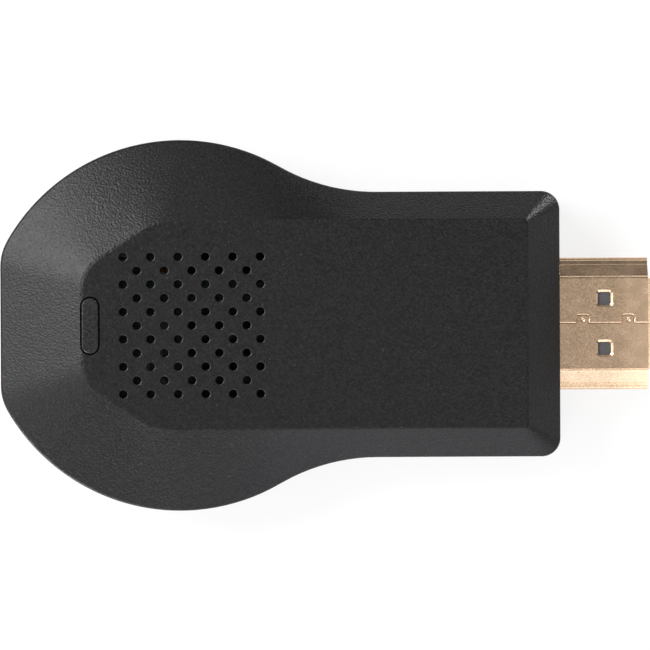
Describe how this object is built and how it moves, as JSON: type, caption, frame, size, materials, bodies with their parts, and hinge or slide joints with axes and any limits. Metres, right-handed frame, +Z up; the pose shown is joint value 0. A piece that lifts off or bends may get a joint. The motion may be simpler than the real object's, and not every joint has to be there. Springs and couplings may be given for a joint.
{
  "type": "streaming media player",
  "caption": "Flat black media stick: round head, straight neck, bevelled lid with a grid of vents and a long button, gold video plug at one end, power socket at the other.",
  "frame": {"origin": "middle of the whole object's footprint, on the underside of the casing", "axes": "+X along the length towards the video plug, +Z up through the vented lid, +Y to the left of +X"},
  "size_m": [0.0688, 0.0388, 0.0121],
  "materials": {
    "case_plastic": "fine-grained matte black ABS",
    "button_plastic": "fine-grained matte black ABS",
    "board": "green solder mask over glass-fibre board",
    "screw_steel": "zinc-plated steel",
    "plug_gold": "satin gold plating",
    "contact_gold": "bright gold plating",
    "insulator": "dark grey glass-filled moulding",
    "socket_steel": "tin-plated stainless sheet",
    "socket_moulding": "black glass-filled moulding",
    "switch_moulding": "black moulding",
    "switch_steel": "stamped stainless sheet",
    "plunger_plastic": "ivory moulding",
    "chip_epoxy": "black mould compound",
    "thermal_rubber": "soft grey-blue silicone",
    "sink_black": "black anodised aluminium",
    "radio_laminate": "blue solder mask",
    "shield_tin": "tin-plated steel",
    "crystal_steel": "nickel-plated lid",
    "antenna_ceramic": "white ceramic",
    "ferrite": "dark grey ferrite",
    "solder_tin": "bright tin",
    "capacitor_ceramic": "tan fired ceramic",
    "resistor_body": "black glaze on white alumina",
    "tantalum_case": "orange mould compound",
    "lamp": "clear resin"
  },
  "bodies": {
    "casing": {"top_cover": "case_plastic", "bottom_cover": "case_plastic", "main_board": "board", "board_screws": "screw_steel", "video_plug_shell": "plug_gold", "video_plug_insulator": "insulator", "video_plug_contacts": "contact_gold", "power_socket_shell": "socket_steel", "power_socket_tongue": "socket_moulding", "power_socket_contacts": "contact_gold", "switch_base": "switch_moulding", "switch_frame": "switch_steel", "switch_dome": "switch_steel", "switch_terminals": "solder_tin", "processor": "chip_epoxy", "thermal_pad": "thermal_rubber", "heat_sink": "sink_black", "memory_chip": "chip_epoxy", "flash_chip": "chip_epoxy", "flash_chip_leads": "solder_tin", "radio_board": "radio_laminate", "radio_shield": "shield_tin", "chip_antenna": "antenna_ceramic", "crystal_can": "crystal_steel", "power_inductors": "ferrite", "inductor_pads": "solder_tin", "voltage_regulators": "chip_epoxy", "regulator_leads": "solder_tin", "ceramic_capacitors": "capacitor_ceramic", "chip_resistors": "resistor_body", "tantalum_capacitors": "tantalum_case", "small_part_ends": "solder_tin", "status_light": "lamp", "surge_arrays": "chip_epoxy"},
    "button": {"mode_button": "button_plastic"},
    "switch_plunger": {"switch_plunger": "plunger_plastic"}
  },
  "joints": [
    {"name": "button_press", "type": "slide", "parent": "casing", "child": "button", "axis": [0, 0, -1], "range_m": [0, 0.00025], "stiffness_N_per_m": 4000, "deforming": ["switch_dome"]},
    {"name": "plunger_travel", "type": "slide", "parent": "casing", "child": "switch_plunger", "axis": [0, 0, -1], "range_m": [0, 0.00025]}
  ],
  "couplings": [
    {"joint": "plunger_travel", "follows": "button_press", "ratio": 1}
  ]
}
